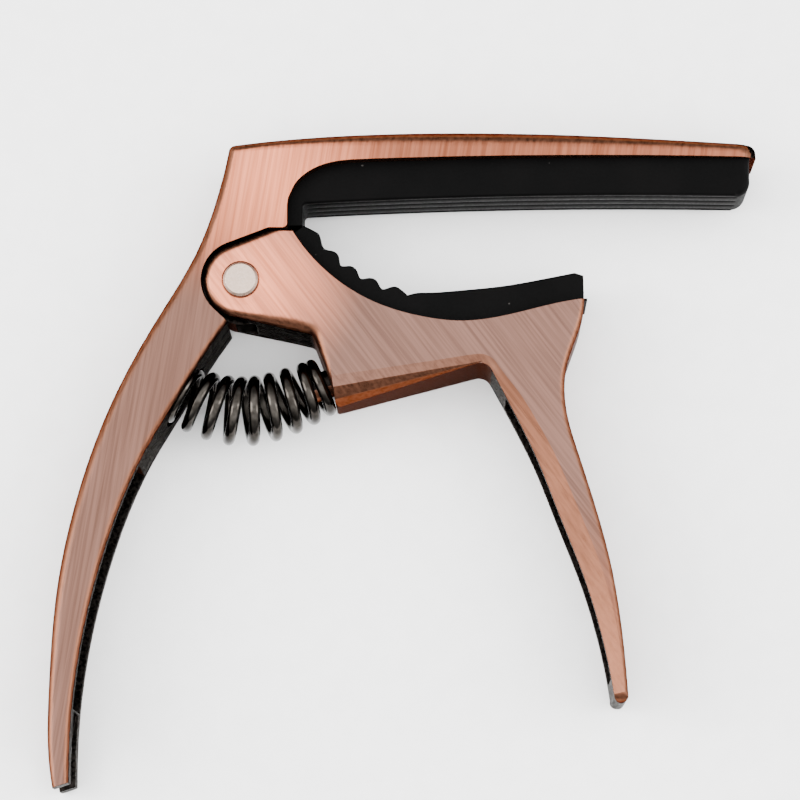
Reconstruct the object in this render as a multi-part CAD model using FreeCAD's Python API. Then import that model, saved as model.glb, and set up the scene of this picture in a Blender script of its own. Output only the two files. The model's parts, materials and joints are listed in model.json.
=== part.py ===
"""Spring-loaded guitar capo with a bridge-pin puller, lying on its side.

The model is drawn about the pivot axis: X runs along the string arm, Y from the handles up to
the arm, Z through the thickness. It is then moved so that the origin is at the middle of the
bounding box's base. All sizes are in millimetres.
"""
import FreeCAD, Part

import math
import os

# ---- driving dimensions ---------------------------------------------------------------------
body_thickness = 12.0        # both castings, side face to side face
arm_reach = 62.45            # pivot axis to the arm's tip
arm_seat_height = 15.1       # pivot axis to the arm's seat, which is slightly arched
arm_tip_narrowing = 0.9      # the arm's tip is narrower than the body by this, on each side
arm_taper_start = 20.0
arm_tip_corner = 2.2
seat_arch = 0.29             # the arm's seat bows up by this half way along
seat_rise = 0.1              # it is higher by this at the arm's tip
seat_fall = 0.22             # and lower by this at the arm's root
rear_handle_drop = 61.2      # pivot axis down to the fork's points
front_handle_drop = 51.2     # pivot axis down to the trigger's tip
jaw_reach = 41.3             # pivot axis to the jaw's free end

ear_radius = 4.5             # the jaw's two ears round the pivot
ear_clearance = 0.3          # ears to the walls of the frame's recess
tongue_thickness = 5.0       # the frame's tongue between the ears
tongue_lap = 0.1             # the tongue's round runs into the recess wall by this
tongue_clearance = 0.4       # tongue to the jaw's web
pin_radius = 2.1
pin_bore_clearance = 0.05    # pin to the tongue's bore and to the washers
pin_proud = 0.45             # the pin's upper end above the side face
pin_recess = 0.15            # the pin's lower end below the side face
pin_chamfer = 0.28
pin_ring = 0.15              # groove round the pin in each ear
pin_ring_depth = 0.7
pin_dish = 1.0               # shallow dish round the groove
pin_dish_depth = 0.12
washer_thickness = 0.4
washer_clearance = 0.1       # each washer to its ear
washer_inset = 0.3           # the washers stop this far inside the ears' round edge

handle_wall = 2.0            # side walls of the handles' channels
handle_shell = 1.5           # what is left behind the channels
channel_reach = 14.0         # the channels' cutters go this far past their floors
rear_channel_top = -20.5     # where the rear channel starts, in Y
rear_channel_rest = 9.7      # handle left solid below it, for the fork
front_channel_top = -14.0
front_channel_rest = 3.2

fork_slot_width = 5.6        # takes the neck of a bridge pin
fork_slot_depth = 6.2
fork_ramp_length = 3.2
fork_ramp_depth = 0.8

spring_wire = 1.4
spring_rear_x = -9.5         # the spring's centre line runs from the floor of the frame's pocket
spring_rear_y = -12.2
spring_seat_share = 0.785    # to this share of the way down the jaw's spring seat
spring_rear_slope = 25.0     # it falls from the rear at this angle
spring_jaw_slope = 25.0      # and rises to the jaw at this one
spring_bow = 10.0            # how far it holds those slopes
spring_pitch = 2.27          # along the centre line, for each turn
spring_front_turn = 9.4      # distance from the rear end at which a turn faces up
spring_turns_after = 5.3     # turns of wire from there to the jaw's seat
spring_seat_blend = 0.3      # how gently the last turn lies down on the seat
spring_mid_radius = 3.6      # mean coil radius at the spring's waist
spring_end_radius = 2.85     # and at its ends
spring_start_gap = 0.1       # the first turn to the floor of the pocket
spring_end_gap = 0.5         # the last turn to the jaw's seat
pocket_clearance = 0.55      # spring to the wall of the frame's pocket
peg_clearance = 0.45         # spring to the jaw's peg inside it
peg_length = 2.4
peg_root_depth = 1.5         # the peg starts this far inside the casting

string_pad_setback = 0.8     # the pad is narrower than the arm's tip by this, on each side
string_pad_thickness = 4.6
string_pad_end = 0.8         # the pad stops this far short of the arm's tip
string_pad_leg = 1.8         # thickness of the leg down the frame's inner wall
pad_rise = 0.1               # the contact face is higher by this at its far end
pad_fall = 0.75              # it is lower by this beside the leg
pad_arch = 0.47              # and bows up by this half way along
pad_edge = 0.4               # rounding along the pad's contact face
pad_plan_corner = 1.0        # its two far corners, seen from above
pad_end_corner = 1.8         # its far end, seen from the side
pad_leg_corner = 0.5         # the inside corner between the pad and its leg
pad_gap = 0.15               # the leg to the neck pad's last rib
neck_pad_setback = 1.6       # the pad is narrower than the jaw by this, on each side
neck_rib_height = 0.68
neck_rib_crown = 0.52        # half the width of a rib's crown
neck_rib_shoulder = 0.8      # the crown's sides stand this share of the rib's height
neck_flange = 0.4            # the pad's lip stands out this far over the jaw's free end
neck_flange_thickness = 0.3
key_width = 3.0              # the ribs that key the pads into the castings
key_depth = 1.0
key_clearance = 0.05

arm_edge = 1.2               # rounding at the arm's heel and tip
arm_edge_mid = 2.1           # the same rounding half way along the arm
back_edge = 1.2              # rounding down the rear handle's back
fork_edge = 0.6              # rounding where the handle is thin, at the fork
rear_inner_edge = 0.7
front_edge = 0.8
ear_edge = 1.0               # rounding under the ears where they leave the round
ear_edge_wide = 2.2          # and where they meet the spring's seat
seat_edge = 0.6
belly_depth = 2.1            # the jaw's underside bulges this far below its edges at the spring
belly_corner = 0.5
band_width = 1.3             # the soft band along the jaw's lower edge
band_bend_width = 0.9
band_depth = 0.35
bevel_width = 2.3            # widest part of the trigger's thumb bevel
bevel_depth = 1.2
trigger_tip_round = 1.6      # the trigger's tip, seen from its back
heel_corner = 0.8            # the upright corner between the arm and the handle
seat_corner = 0.9            # between the ears' underside and the spring's seat
bend_corner = 1.6            # between the jaw's underside and the trigger
full_back_edge = 24.2        # the rounded edges have their full radius this far up the handles
full_front_edge = 21.2

# ---- derived sizes and places ---------------------------------------------------------------
middle = body_thickness / 2
recess_radius = ear_radius + ear_clearance
tongue_radius = recess_radius + tongue_lap
web_radius = tongue_radius + tongue_clearance
washer_radius = ear_radius - washer_inset
ear_gap = tongue_thickness + 2 * (washer_thickness + washer_clearance)
pocket_radius = spring_end_radius + spring_wire / 2 + pocket_clearance
peg_radius = spring_end_radius - spring_wire / 2 - peg_clearance
arm_tip_width = body_thickness - 2 * arm_tip_narrowing
string_pad_width = arm_tip_width - 2 * string_pad_setback
neck_pad_width = body_thickness - 2 * neck_pad_setback
rear_channel_end = rear_channel_rest - rear_handle_drop
front_channel_end = front_channel_rest - front_handle_drop
ear_top_angle = 111.3        # where the ears' straight top leaves the round
ear_bottom_angle = 261.2     # and their straight underside
recess_end_angle = 226.0
handle_lead = 0.545          # the handle's inner edge starts this far outside the recess
handle_lead_angle = 252.6
arm_root = 16.0              # the arm proper starts here, right of the pivot
jaw_root = 22.0
wall_x = 5.56                # the frame's inner wall
wall_foot = 6.9              # and how far down it comes
wall_drop = 6.3              # the wall starts this far below the arm's seat
shoulder_height = 6.4        # the frame's shoulder over the jaw

# The outlines below are drawn for these sizes, and stretched from them.
drawn_arm_reach = 62.45
drawn_seat_height = 15.1
drawn_rear_drop = 61.2
drawn_front_drop = 51.2
drawn_jaw_reach = 41.3
rear_stretch = rear_handle_drop / drawn_rear_drop
front_stretch = front_handle_drop / drawn_front_drop
arm_stretch = (arm_reach - arm_root) / (drawn_arm_reach - arm_root)
jaw_stretch = (jaw_reach - jaw_root) / (drawn_jaw_reach - jaw_root)
jaw_shift = jaw_reach - drawn_jaw_reach
arm_lift = arm_seat_height - drawn_seat_height
seat_top = FreeCAD.Vector(8.7, -2.1 - ear_radius)
seat_bottom = FreeCAD.Vector(11.2, -13.1)
belly = FreeCAD.Vector(11.5, -13.1 - belly_depth)
inner_bend = FreeCAD.Vector(29.6 + jaw_shift, -9.9)


# ---- small helpers --------------------------------------------------------------------------
def at(x, y, z=0.0):
    return FreeCAD.Vector(x, y, z)


def polar(radius, degrees):
    a = math.radians(degrees)
    return at(radius * math.cos(a), radius * math.sin(a))


def line(a, b):
    return Part.LineSegment(a, b).toShape()


def arc(a, through, b):
    return Part.Arc(a, through, b).toShape()


def smooth(points):
    curve = Part.BSplineCurve()
    curve.interpolate(points)
    return curve


def spline(points):
    return smooth(points).toShape()


def round_corner(before, point, after, radius):
    """The start, the edge and the end of a round corner at point."""
    a = (before - point).normalize()
    b = (after - point).normalize()
    half = math.acos(a.dot(b)) / 2
    cut = radius / math.tan(half)
    centre = point + (a + b).normalize() * (radius / math.sin(half))
    nearest = centre + (point - centre).normalize() * radius
    return point + a * cut, arc(point + a * cut, nearest, point + b * cut), point + b * cut


def prism(edges, low, high):
    """A solid from a closed outline, between two heights."""
    face = Part.Face(Part.Wire(Part.__sortEdges__(edges)))
    solid = face.extrude(at(0, 0, high - low))
    solid.translate(at(0, 0, low))
    return solid


def box(x0, x1, y0, y1, z0, z1):
    return Part.makeBox(x1 - x0, y1 - y0, z1 - z0, at(x0, y0, z0))


def disc(radius, z0, z1):
    return Part.makeCylinder(radius, z1 - z0, at(0, 0, z0))


def both_sides(shape):
    """The shape and its mirror image in the middle plane."""
    return [shape, shape.mirror(at(0, 0, middle), at(0, 0, 1))]


def over(solid, outline):
    """The solid's edges that follow these edges of its outline, on both sides."""
    found = []
    for edge in solid.Edges:
        start = edge.valueAt(edge.FirstParameter)
        end = edge.valueAt(edge.LastParameter)
        mid = edge.valueAt((edge.FirstParameter + edge.LastParameter) / 2)
        upright = abs(start.x - end.x) + abs(start.y - end.y) < 1e-3
        foot = Part.Vertex(mid.x, mid.y, 0)
        if not upright and min(part.distToShape(foot)[0] for part in outline) < 2e-3:
            found.append(edge)
    return found


def upright(solid, x, y):
    """The solid's edges that stand over this point of the outline."""
    found = []
    for edge in solid.Edges:
        ends = [edge.valueAt(edge.FirstParameter), edge.valueAt(edge.LastParameter)]
        if all(abs(end.x - x) + abs(end.y - y) < 0.01 for end in ends):
            found.append(edge)
    return found


def rounded(solid, edges, radius_at):
    """Round edges of the solid; radius_at gives the radius wanted at a point."""
    document = FreeCAD.newDocument("rounding")
    base = document.addObject("Part::Feature", "base")
    base.Shape = solid
    fillet = document.addObject("Part::Fillet", "fillet")
    fillet.Base = base
    rows = []
    for number, edge in enumerate(base.Shape.Edges):
        if not any(edge.isSame(e) or edge.isPartner(e) for e in edges):
            continue
        start = radius_at(edge.valueAt(edge.FirstParameter))
        end = radius_at(edge.valueAt(edge.LastParameter))
        rows.append((number + 1, start, end))
    fillet.Edges = rows
    document.recompute()
    result = fillet.Shape.copy()
    FreeCAD.closeDocument(document.Name)
    if result.isNull() or not result.isValid():
        raise ValueError("rounding failed")
    return result.Solids[0] if len(result.Solids) == 1 else result


def dropped(points, stretch):
    """Outline points with everything below the pivot stretched along Y."""
    return [at(x, y * stretch if y < 0 else y) for x, y in points]


def reaching(points, root, stretch):
    """Outline points with everything beyond root stretched along X."""
    return [at(root + (x - root) * stretch if x > root else x, y) for x, y in points]


# ---- outlines -------------------------------------------------------------------------------
def arm_top_points():
    points = reaching([(-1.5, 16.7), (13.0, 18.08), (25.0, 18.45), (38.6, 18.25), (50.0, 17.68),
                       (62.35, 16.98)], arm_root, arm_stretch)
    return [p + at(0, arm_lift) for p in points]


def rear_back_points():
    """The rear handle's back, from the fork up to the arm's heel."""
    points = dropped([(-21.75, -61.0), (-22.35, -56.5), (-22.4, -49.5), (-21.6, -37.0),
                      (-19.7, -27.3), (-15.6, -15.2), (-10.3, -5.0), (-5.3, 3.8),
                      (-3.0, 10.2)], rear_stretch)
    return points + [arm_top_points()[0]]


def rear_inner_points():
    """The rear handle's inner edge, from the recess down to the fork."""
    points = dropped([(-5.25, -10.6), (-8.15, -15.4), (-11.35, -20.9), (-14.5, -28.1),
                      (-16.75, -35.25), (-18.4, -42.4), (-19.6, -51.3), (-19.85, -56.5),
                      (-19.85, -60.35)], rear_stretch)
    return [polar(recess_radius + handle_lead, handle_lead_angle)] + points


def trigger_back_points():
    """The trigger's back, from its tip up to the jaw's free end."""
    points = dropped([(46.2, -50.2), (45.4, -41.3), (44.3, -34.5), (42.3, -26.8),
                      (40.5, -21.0), (39.15, -15.9), (38.95, -13.4), (39.15, -11.0),
                      (40.3, -7.4), (41.2, -4.6)], front_stretch)
    return [p + at(jaw_shift, 0) for p in points]


def trigger_inner_points():
    """The trigger's inner edge below the bend, down to the tip."""
    points = dropped([(32.4, -15.2), (35.7, -22.0), (38.3, -28.7), (40.9, -35.4),
                      (43.2, -43.2), (44.5, -50.0)], front_stretch)
    return [p + at(jaw_shift, 0) for p in points]


def pad_seat_points():
    """The curved seat of the neck pad, from the jaw's free end to the hinge."""
    return reaching([(41.4, -2.4), (36.0, -3.45), (30.1, -4.8), (26.1, -5.1), (22.7, -4.72),
                     (15.85, -2.65), (9.9, 1.42), (6.25, 5.95)], jaw_root, jaw_stretch)


def bowed(start, rise, end):
    """A shallow arc whose middle stands this far above the middle of start and end."""
    return arc(start, (start + end) * 0.5 + at(0, rise), end)


def seat_point(x):
    """The point of the arm's seat at this X. The whole seat is one shallow arc."""
    circle = bowed(at(arm_reach, arm_seat_height + seat_rise), seat_arch,
                   at(arm_root, arm_seat_height - seat_fall)).Curve
    aside = x - circle.Center.x
    return at(x, circle.Center.y + math.sqrt(circle.Radius ** 2 - aside ** 2))


def arm_seat_curve(end_x):
    """The arm's slightly arched seat, from end_x back to the arm's root."""
    return arc(seat_point(end_x), seat_point((end_x + arm_root) / 2), seat_point(arm_root))


def inner_bend_curve():
    """The curve between the arm's seat and the frame's inner wall."""
    curve = Part.BSplineCurve()
    points = [(arm_root, -seat_fall), (10.74, -0.68), (8.58, -1.5), (7.4, -2.32), (6.5, -3.3),
              (5.95, -4.4), (wall_x, -wall_drop)]
    curve.interpolate(Points=[at(x, arm_seat_height + y) for x, y in points],
                      InitialTangent=at(-1, -0.045), FinalTangent=at(0, -1))
    return curve.toShape()


def frame_outline():
    """The frame's side view as named edges, without the tongue."""
    top = smooth(arm_top_points())
    top_half = (top.FirstParameter + top.LastParameter) / 2
    back = smooth(rear_back_points())
    back_split = back.parameter(rear_back_points()[2])
    tip_top = top.EndPoint
    tip_low = seat_point(arm_reach)
    wall_low = at(wall_x, wall_foot)
    heel = at(wall_x - 0.6, shoulder_height)
    recess_start = polar(recess_radius, ear_top_angle)
    recess_end = polar(recess_radius, recess_end_angle)
    shoulder = at(3.3, shoulder_height)
    inner = smooth(rear_inner_points())
    return {
        "arm_top": top.toShape(top.FirstParameter, top_half),
        "arm_top_far": top.toShape(top_half, top.LastParameter),
        "arm_tip": line(tip_top, tip_low),
        "arm_seat": arm_seat_curve(arm_reach),
        "bend": inner_bend_curve(),
        "inner_wall": line(at(wall_x, arm_seat_height - wall_drop), wall_low),
        "heel": arc(wall_low, at(wall_x - 0.17, shoulder_height + 0.14), heel),
        "shoulder": line(heel, shoulder),
        "recess_top": line(shoulder, recess_start),
        "recess": arc(recess_start, polar(recess_radius, 170), recess_end),
        "recess_exit": line(recess_end, inner.StartPoint),
        "handle_inner": inner.toShape(),
        "fork_end": line(inner.EndPoint, back.StartPoint),
        "back_low": back.toShape(back.FirstParameter, back_split),
        "back": back.toShape(back_split, back.LastParameter),
    }


def jaw_outline():
    """The jaw's side view as named edges."""
    ear_top = polar(ear_radius, ear_top_angle)
    ear_low = polar(ear_radius, ear_bottom_angle)
    shoulder = at(3.1, 6.05)
    hinge_corner = pad_seat_points()[-1]
    free_end = pad_seat_points()[0]
    seat_in, seat_round, seat_out = round_corner(ear_low, seat_top, seat_bottom, seat_corner)
    inner = trigger_inner_points()
    bend_in, bend_round, bend_out = round_corner(belly, inner_bend, inner[0], bend_corner)
    belly_in, belly_round, belly_out = round_corner(seat_bottom, belly, inner_bend, belly_corner)
    back = trigger_back_points()
    tip_mid = (inner[-1] + back[0]) * 0.5 + at(0.2, -0.85)
    return {
        "ear_round": arc(ear_top, polar(ear_radius, 185), ear_low),
        "ear_bottom": line(ear_low, seat_in),
        "seat_round": seat_round,
        "spring_seat": line(seat_out, seat_bottom),
        "belly_side": line(seat_bottom, belly_in),
        "belly_round": belly_round,
        "underside": line(belly_out, bend_in),
        "bend_round": bend_round,
        "handle_inner": spline([bend_out] + inner),
        "tip": arc(inner[-1], tip_mid, back[0]),
        "handle_back": spline(back),
        "free_end": line(back[-1], free_end),
        "pad_seat": spline(pad_seat_points()),
        "ear_corner": line(hinge_corner, shoulder),
        "ear_top": line(shoulder, ear_top),
    }


# ---- features the castings share ------------------------------------------------------------
def channel(back_points, top, end, toward):
    """A handle's hollow as a solid to cut: it opens to the side given by toward (+1 or -1)."""
    back = smooth(back_points)
    floor = []
    mouth = []
    steps = 6
    for i in range(steps + 1):
        y = top + (end - top) * i / steps
        crossing = Part.LineSegment(at(-60, y), at(90, y))
        hit = back.intersect(crossing)[0]
        point = at(hit.X, hit.Y)
        along = back.tangent(back.parameter(point))[0]
        inward = at(along.y, -along.x).normalize()
        if inward.x * toward < 0:
            inward = inward * -1
        floor.append(point + inward * handle_shell)
        mouth.append(point + inward * channel_reach)
    edges = [spline(floor), line(floor[-1], mouth[-1]), spline(mouth), line(mouth[0], floor[0])]
    return prism(edges, handle_wall, body_thickness - handle_wall)


def band_path():
    """The jaw's lower near edge as the soft band follows it: edge, bend and trigger, with the
    share of the way along each of the three."""
    corner_in, corner_round, corner_out = round_corner(seat_bottom, inner_bend,
                                                       trigger_inner_points()[0], bend_corner)
    straight = Part.LineSegment(seat_bottom, corner_in)
    bend = corner_round.Curve
    trigger = smooth([corner_out] + trigger_inner_points())
    path = []
    for curve, first, last, steps in ((straight, 0, straight.length(), 5),
                                      (bend, corner_round.FirstParameter,
                                       corner_round.LastParameter, 5),
                                      (trigger, trigger.FirstParameter,
                                       trigger.LastParameter, 10)):
        points = [curve.value(first + (last - first) * i / steps) for i in range(steps + 1)]
        if (points[0] - (path[-1][-1] if path else seat_bottom)).Length > 1e-3:
            points.reverse()
        path.append(points)
    return path


def band_size(stretch, share):
    """Width and depth of the band at a share of the way along one of its three stretches."""
    if stretch == 0:
        return band_width + (band_bend_width - band_width) * share, band_depth
    if stretch == 1:
        return band_bend_width, band_depth
    swell = math.sin(math.pi * min(1.0, 0.9 * share + 0.02)) ** 0.7
    return (band_bend_width + (bevel_width - band_bend_width) * swell,
            band_depth + (bevel_depth - band_depth) * swell)


def soft_band():
    """Cutters for the band along the jaw's lower edge, which widens to the thumb bevel."""
    sections = []
    reach = 0.9
    rows = []
    for stretch, points in enumerate(band_path()):
        for i, here in enumerate(points):
            if rows and (here - rows[-1][0]).Length < 1e-3:
                continue
            rows.append((here, band_size(stretch, i / (len(points) - 1))))
    before = rows[0][0] * 2 - rows[1][0]
    rows.insert(0, (before, rows[0][1]))
    for i, (here, (width, depth)) in enumerate(rows):
        ahead = rows[min(i + 1, len(rows) - 1)][0]
        behind = rows[max(i - 1, 0)][0]
        along = (ahead - behind).normalize()
        across = at(-along.y, along.x)
        slope = depth / width
        edge = here + at(0, 0, body_thickness)
        face = edge + across * (width + reach) + at(0, 0, slope * reach)
        low = edge - across * reach + at(0, 0, -depth - slope * reach)
        high = edge - across * reach + at(0, 0, slope * reach)
        sections.append(Part.makePolygon([face, low, high, face]))
    return both_sides(Part.makeLoft(sections, True, False))


def belly_cutters():
    """Cutters that slope the jaw's bulging underside back to its edges on both sides."""
    along = (inner_bend - seat_bottom).normalize()
    down = at(along.y, -along.x)
    far_share = 0.97
    sections = []
    for share in (-0.3, far_share):
        here = seat_bottom + (inner_bend - seat_bottom) * share
        drop = belly_depth * 1.05 * (1 - share)
        top = body_thickness - band_depth
        profile = [(0.0, top + 2), (0.0, top), (0.62 * drop, top - 0.5 * drop),
                   (drop, top - 1.5 * drop), (drop + 3, top - 1.5 * drop), (drop + 3, top + 2)]
        corners = [here + down * out + at(0, 0, z) for out, z in profile]
        sections.append(Part.makePolygon(corners + [corners[0]]))
    return both_sides(Part.makeLoft(sections, True, True))


def trigger_tip_cut():
    """Cutters that round the trigger's tip, seen from its back."""
    low = -front_handle_drop - 1
    r = trigger_tip_round
    tip = trigger_back_points()[0].y - 0.75
    start = at(0, tip + r, 0)
    mid = at(0, tip + r * (1 - math.sin(math.pi / 4)), r * (1 - math.cos(math.pi / 4)))
    end = at(0, tip, r)
    edges = [arc(start, mid, end), line(end, at(0, low, r)), line(at(0, low, r), at(0, low, -1)),
             line(at(0, low, -1), at(0, tip + r, -1)), line(at(0, tip + r, -1), start)]
    face = Part.Face(Part.Wire(Part.__sortEdges__(edges)))
    cutter = face.extrude(at(20, 0, 0))
    cutter.translate(at(jaw_shift + 36, 0, 0))
    return both_sides(cutter)


def spring_path():
    """The spring's bowed centre line, from the frame's pocket to the jaw's seat."""
    start = at(spring_rear_x, spring_rear_y, middle)
    end = seat_top + (seat_bottom - seat_top) * spring_seat_share + at(0, 0, middle)
    falling = polar(spring_bow, -spring_rear_slope)
    rising = polar(spring_bow, spring_jaw_slope)
    path = Part.BezierCurve()
    path.setPoles([start, start + falling, end - rising, end])
    return path


def wire_point(path, length, free):
    """A point on the middle of the spring's wire; free is how far along the centre line it
    would be, if the last turn didn't lie down on the jaw's seat."""
    room = length - spring_wire / 2 - spring_end_gap - free
    distance = free + room - (room + math.sqrt(room ** 2 + spring_seat_blend ** 2)) / 2
    u = path.parameterAtDistance(distance, path.FirstParameter)
    along = path.tangent(u)[0].normalize()
    out = at(along.y, -along.x)
    turn = (free - spring_front_turn) / spring_pitch * 2 * math.pi
    swell = math.sin(math.pi * distance / length)
    coil = spring_end_radius + (spring_mid_radius - spring_end_radius) * swell
    return path.value(u) - out * (coil * math.sin(turn)) + at(0, 0, coil * math.cos(turn))


# ---- the pieces -----------------------------------------------------------------------------
def arm_plan_cut():
    """Two cutters that narrow the arm toward its tip and round the tip in plan."""
    narrowed = (body_thickness - arm_tip_width) / 2
    length = arm_reach - arm_taper_start
    start = at(arm_taper_start, 0, 0)
    waist = at(arm_taper_start + length * 0.55, 0, narrowed * 0.38)
    shoulder = at(arm_reach - arm_tip_corner, 0, narrowed)
    tip = at(arm_reach + 0.4, 0, narrowed + arm_tip_corner)
    side = Part.BSplineCurve()
    side.interpolate(Points=[start, waist, shoulder], InitialTangent=at(1, 0, 0),
                     FinalTangent=at(1, 0, 0.05))
    bow = arc(shoulder, at(arm_reach - 0.35, 0, narrowed + 0.85), tip)
    outer = at(arm_reach + 0.4, 0, -1)
    edges = [side.toShape(), bow, line(tip, outer), line(outer, at(arm_taper_start, 0, -1)),
             line(at(arm_taper_start, 0, -1), start)]
    wire = Part.Wire(Part.__sortEdges__(edges))
    cutter = Part.Face(wire).extrude(at(0, 14, 0))
    cutter.translate(at(0, arm_seat_height - 4, 0))
    return both_sides(cutter)


def arm_rounding(point):
    """Radius of the arm's top edge: least at the heel and the tip, most half way."""
    share = (point.x + 1.5) / (arm_reach + 1.5)
    return arm_edge + (arm_edge_mid - arm_edge) * max(0.0, 1 - abs(2 * share - 1)) ** 0.6


def back_rounding(point):
    """Radius down the rear handle's back: least at the fork, where the handle is thin."""
    share = (point.y + rear_handle_drop) / full_back_edge
    return fork_edge + (back_edge - fork_edge) * min(1.0, max(0.0, share))


def frame_rounding(point):
    if point.x > -1.4:
        return arm_rounding(point)
    return min(arm_edge, back_rounding(point))


def fork_slot():
    """The slot between the two prongs and the ramp that leads into it."""
    low = -rear_handle_drop
    top = low + fork_slot_depth
    half = fork_slot_width / 2
    slot = box(-30, -15, low - 5, top - half, middle - half, middle + half)
    slot = slot.fuse(Part.makeCylinder(half, 15, at(-30, top - half, middle), at(1, 0, 0)))
    inner = rear_inner_points()[-2].x
    ramp_top = top + fork_ramp_length
    corners = [at(inner + 1, ramp_top), at(inner - 0.1, ramp_top),
               at(inner - fork_ramp_depth, top - 1), at(inner + 1, top - 1)]
    edges = [line(corners[i], corners[i - 1]) for i in range(4)]
    return slot, prism(edges, middle - half, middle + half)


def key(points, first, last, depth, width, extra):
    """A rib behind a seat curve, from share first to share last of it, grown by extra."""
    path = smooth(points)
    span = path.LastParameter - path.FirstParameter
    near = []
    far = []
    steps = 8
    grow = extra / path.length()
    for i in range(steps + 1):
        share = first - grow + (last - first + 2 * grow) * i / steps
        u = path.FirstParameter + span * share
        along = path.tangent(u)[0].normalize()
        behind = at(-along.y, along.x)
        if behind.y > 0:
            behind = behind * -1
        near.append(path.value(u) - behind * 0.5)
        far.append(path.value(u) + behind * (depth + extra))
    edges = [spline(near), line(near[-1], far[-1]), spline(far), line(near[0], far[0])]
    return prism(edges, middle - width / 2 - extra, middle + width / 2 + extra)


def string_key(extra):
    """The straight rib that keys the string pad into the arm."""
    return box(arm_root + 2 - extra, arm_reach - 8 + extra, arm_seat_height - 0.5,
               arm_seat_height + key_depth + extra, middle - key_width / 2 - extra,
               middle + key_width / 2 + extra)


def neck_key(extra):
    return key(pad_seat_points(), 0.12, 0.72, key_depth, key_width, extra)


def upper_frame():
    outline = frame_outline()
    body = prism(list(outline.values()), 0, body_thickness)
    for cutter in arm_plan_cut():
        body = body.cut(cutter)
    heel = arm_top_points()[0]
    body = rounded(body, upright(body, heel.x, heel.y), lambda point: heel_corner)
    soft = [outline[name] for name in ("arm_top", "arm_top_far", "back", "back_low")]
    tip = arm_top_points()[-1]
    edges = over(body, soft) + [e for e in body.Edges if e.BoundBox.XMin > tip.x - 0.01
                                and e.BoundBox.YMin > tip.y - 0.01]
    near_heel = Part.Vertex(heel.x + 0.3, heel.y - 0.3, 0)
    far_heel = Part.Vertex(heel.x + 0.3, heel.y - 0.3, body_thickness)
    for edge in body.Edges:
        short = edge.Length < 1.5
        if short and min(edge.distToShape(near_heel)[0], edge.distToShape(far_heel)[0]) < 0.4:
            edges.append(edge)
    body = rounded(body, edges, frame_rounding)
    body = rounded(body, over(body, [outline["handle_inner"]]), lambda point: rear_inner_edge)

    root = box(-3, 2.0, 1, 6.5, middle - tongue_thickness / 2, middle + tongue_thickness / 2)
    tongue = disc(tongue_radius, middle - tongue_thickness / 2, middle + tongue_thickness / 2)
    body = body.fuse(tongue.fuse(root))
    body = body.cut(disc(pin_radius + pin_bore_clearance, -1, body_thickness + 1))
    body = body.cut(channel(rear_back_points(), rear_channel_top, rear_channel_end, 1))
    floor = at(spring_rear_x, spring_rear_y, middle)
    axis = spring_path().tangent(0)[0]
    body = body.cut(Part.makeCylinder(pocket_radius, 12, floor, axis))
    for cutter in fork_slot():
        body = body.cut(cutter)
    body = body.cut(string_key(key_clearance))
    return body.removeSplitter()


def tongue_slot():
    """The room between the jaw's ears for the frame's tongue and its root."""
    low = middle - ear_gap / 2
    high = middle + ear_gap / 2
    round_part = disc(web_radius, low, high)
    above = box(-9, 2.0 + tongue_clearance + 0.2, 0, 8, low, high)
    return round_part.fuse(above)


def ear_rounding(point):
    """Radius under the ears and down the spring's seat."""
    if point.y > seat_top.y + seat_corner:
        share = min(1.0, max(0.0, point.x / seat_top.x))
        return ear_edge + (ear_edge_wide - ear_edge) * share
    share = min(1.0, (seat_top.y + seat_corner - point.y) / (seat_top.y - seat_bottom.y))
    return ear_edge_wide + (seat_edge - ear_edge_wide) * share ** 0.5


def jaw_rounding(point):
    """Radius of the trigger's back edges: least at the thin tip."""
    share = (point.y + front_handle_drop) / full_front_edge
    return fork_edge + (front_edge - fork_edge) * min(1.0, max(0.0, share))


def lower_jaw():
    outline = jaw_outline()
    body = prism(list(outline.values()), 0, body_thickness)
    body = rounded(body, over(body, [outline["handle_back"]]), jaw_rounding)
    ear = [outline[name] for name in ("ear_bottom", "seat_round", "spring_seat")]
    body = rounded(body, over(body, ear), ear_rounding)
    for cutter in soft_band() + belly_cutters() + trigger_tip_cut():
        body = body.cut(cutter)
    seat_normal = at(seat_bottom.y - seat_top.y, seat_top.x - seat_bottom.x).normalize()
    path = spring_path()
    peg_root = path.value(path.LastParameter) - seat_normal * peg_root_depth
    peg = Part.makeCylinder(peg_radius, peg_length + peg_root_depth, peg_root, seat_normal)
    body = body.fuse(peg)
    body = body.cut(tongue_slot())
    body = body.cut(disc(pin_radius, -1, body_thickness + 1))
    ring = pin_radius + pin_ring
    dish = Part.makeCone(ring + pin_dish, ring, pin_dish_depth)
    for cutter in both_sides(disc(ring, -1, pin_ring_depth).fuse(dish)):
        body = body.cut(cutter)
    body = body.cut(channel(trigger_back_points(), front_channel_top, front_channel_end, -1))
    body = body.cut(neck_key(key_clearance))
    return body.removeSplitter()


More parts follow.
